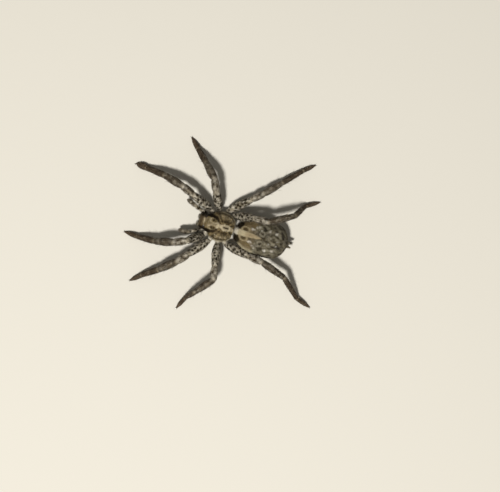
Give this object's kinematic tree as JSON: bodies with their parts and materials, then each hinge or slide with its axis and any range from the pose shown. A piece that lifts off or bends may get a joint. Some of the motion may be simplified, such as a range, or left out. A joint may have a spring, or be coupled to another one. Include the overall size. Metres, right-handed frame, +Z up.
{
  "type": "wolf spider",
  "caption": "Life-size model of a wolf spider standing still: a head shield with eyes and jaws, an egg-shaped abdomen, two palps and four pairs of bent, bristly legs.",
  "frame": {"origin": "on the floor, under the middle of the bounding box", "axes": "+X ahead of the spider's face, +Y to its left, +Z up"},
  "size_m": [0.0308, 0.0264, 0.0059],
  "materials": {
    "shield": "olive-brown cuticle under short flat hair, with a paler band down the middle",
    "abdomen": "grey-brown skin under dense short hair, with a buff heart mark and small white tufts",
    "leg": "straw-grey hair over brown cuticle, broken into dark spots and half rings, with fine spines",
    "foot": "dark greyish brown, densely haired",
    "underside": "brown cuticle with pale hair",
    "jaw": "dark brown, slightly glossy under sparse hair",
    "fang": "glossy blackish brown",
    "eye": "glossy black lens"
  },
  "bodies": {
    "root": {"abdomen": "abdomen", "carapace": "shield", "chelicera_left": "jaw", "chelicera_right": "jaw", "eye_front_inner_left": "eye", "eye_front_inner_right": "eye", "eye_front_outer_left": "eye", "eye_front_outer_right": "eye", "eye_large_left": "eye", "eye_large_right": "eye", "eye_side_left": "eye", "eye_side_right": "eye", "fang_left": "fang", "fang_right": "fang", "labium": "underside", "leg_1_left_coxa": "leg", "leg_1_left_femur": "leg", "leg_1_left_foot": "foot", "leg_1_left_shin": "leg", "leg_1_right_coxa": "leg", "leg_1_right_femur": "leg", "leg_1_right_foot": "foot", "leg_1_right_shin": "leg", "leg_2_left_coxa": "leg", "leg_2_left_femur": "leg", "leg_2_left_foot": "foot", "leg_2_left_shin": "leg", "leg_2_right_coxa": "leg", "leg_2_right_femur": "leg", "leg_2_right_foot": "foot", "leg_2_right_shin": "leg", "leg_3_left_coxa": "leg", "leg_3_left_femur": "leg", "leg_3_left_foot": "foot", "leg_3_left_shin": "leg", "leg_3_right_coxa": "leg", "leg_3_right_femur": "leg", "leg_3_right_foot": "foot", "leg_3_right_shin": "leg", "leg_4_left_coxa": "leg", "leg_4_left_femur": "leg", "leg_4_left_foot": "foot", "leg_4_left_shin": "leg", "leg_4_right_coxa": "leg", "leg_4_right_femur": "leg", "leg_4_right_foot": "foot", "leg_4_right_shin": "leg", "maxilla_left": "underside", "maxilla_right": "underside", "palp_left_arm": "leg", "palp_left_tip": "foot", "palp_right_arm": "leg", "palp_right_tip": "foot", "pedicel": "underside", "spinneret_lower_left": "underside", "spinneret_lower_right": "underside", "spinneret_upper_left": "underside", "spinneret_upper_right": "underside", "sternum": "underside"}
  },
  "joints": []
}
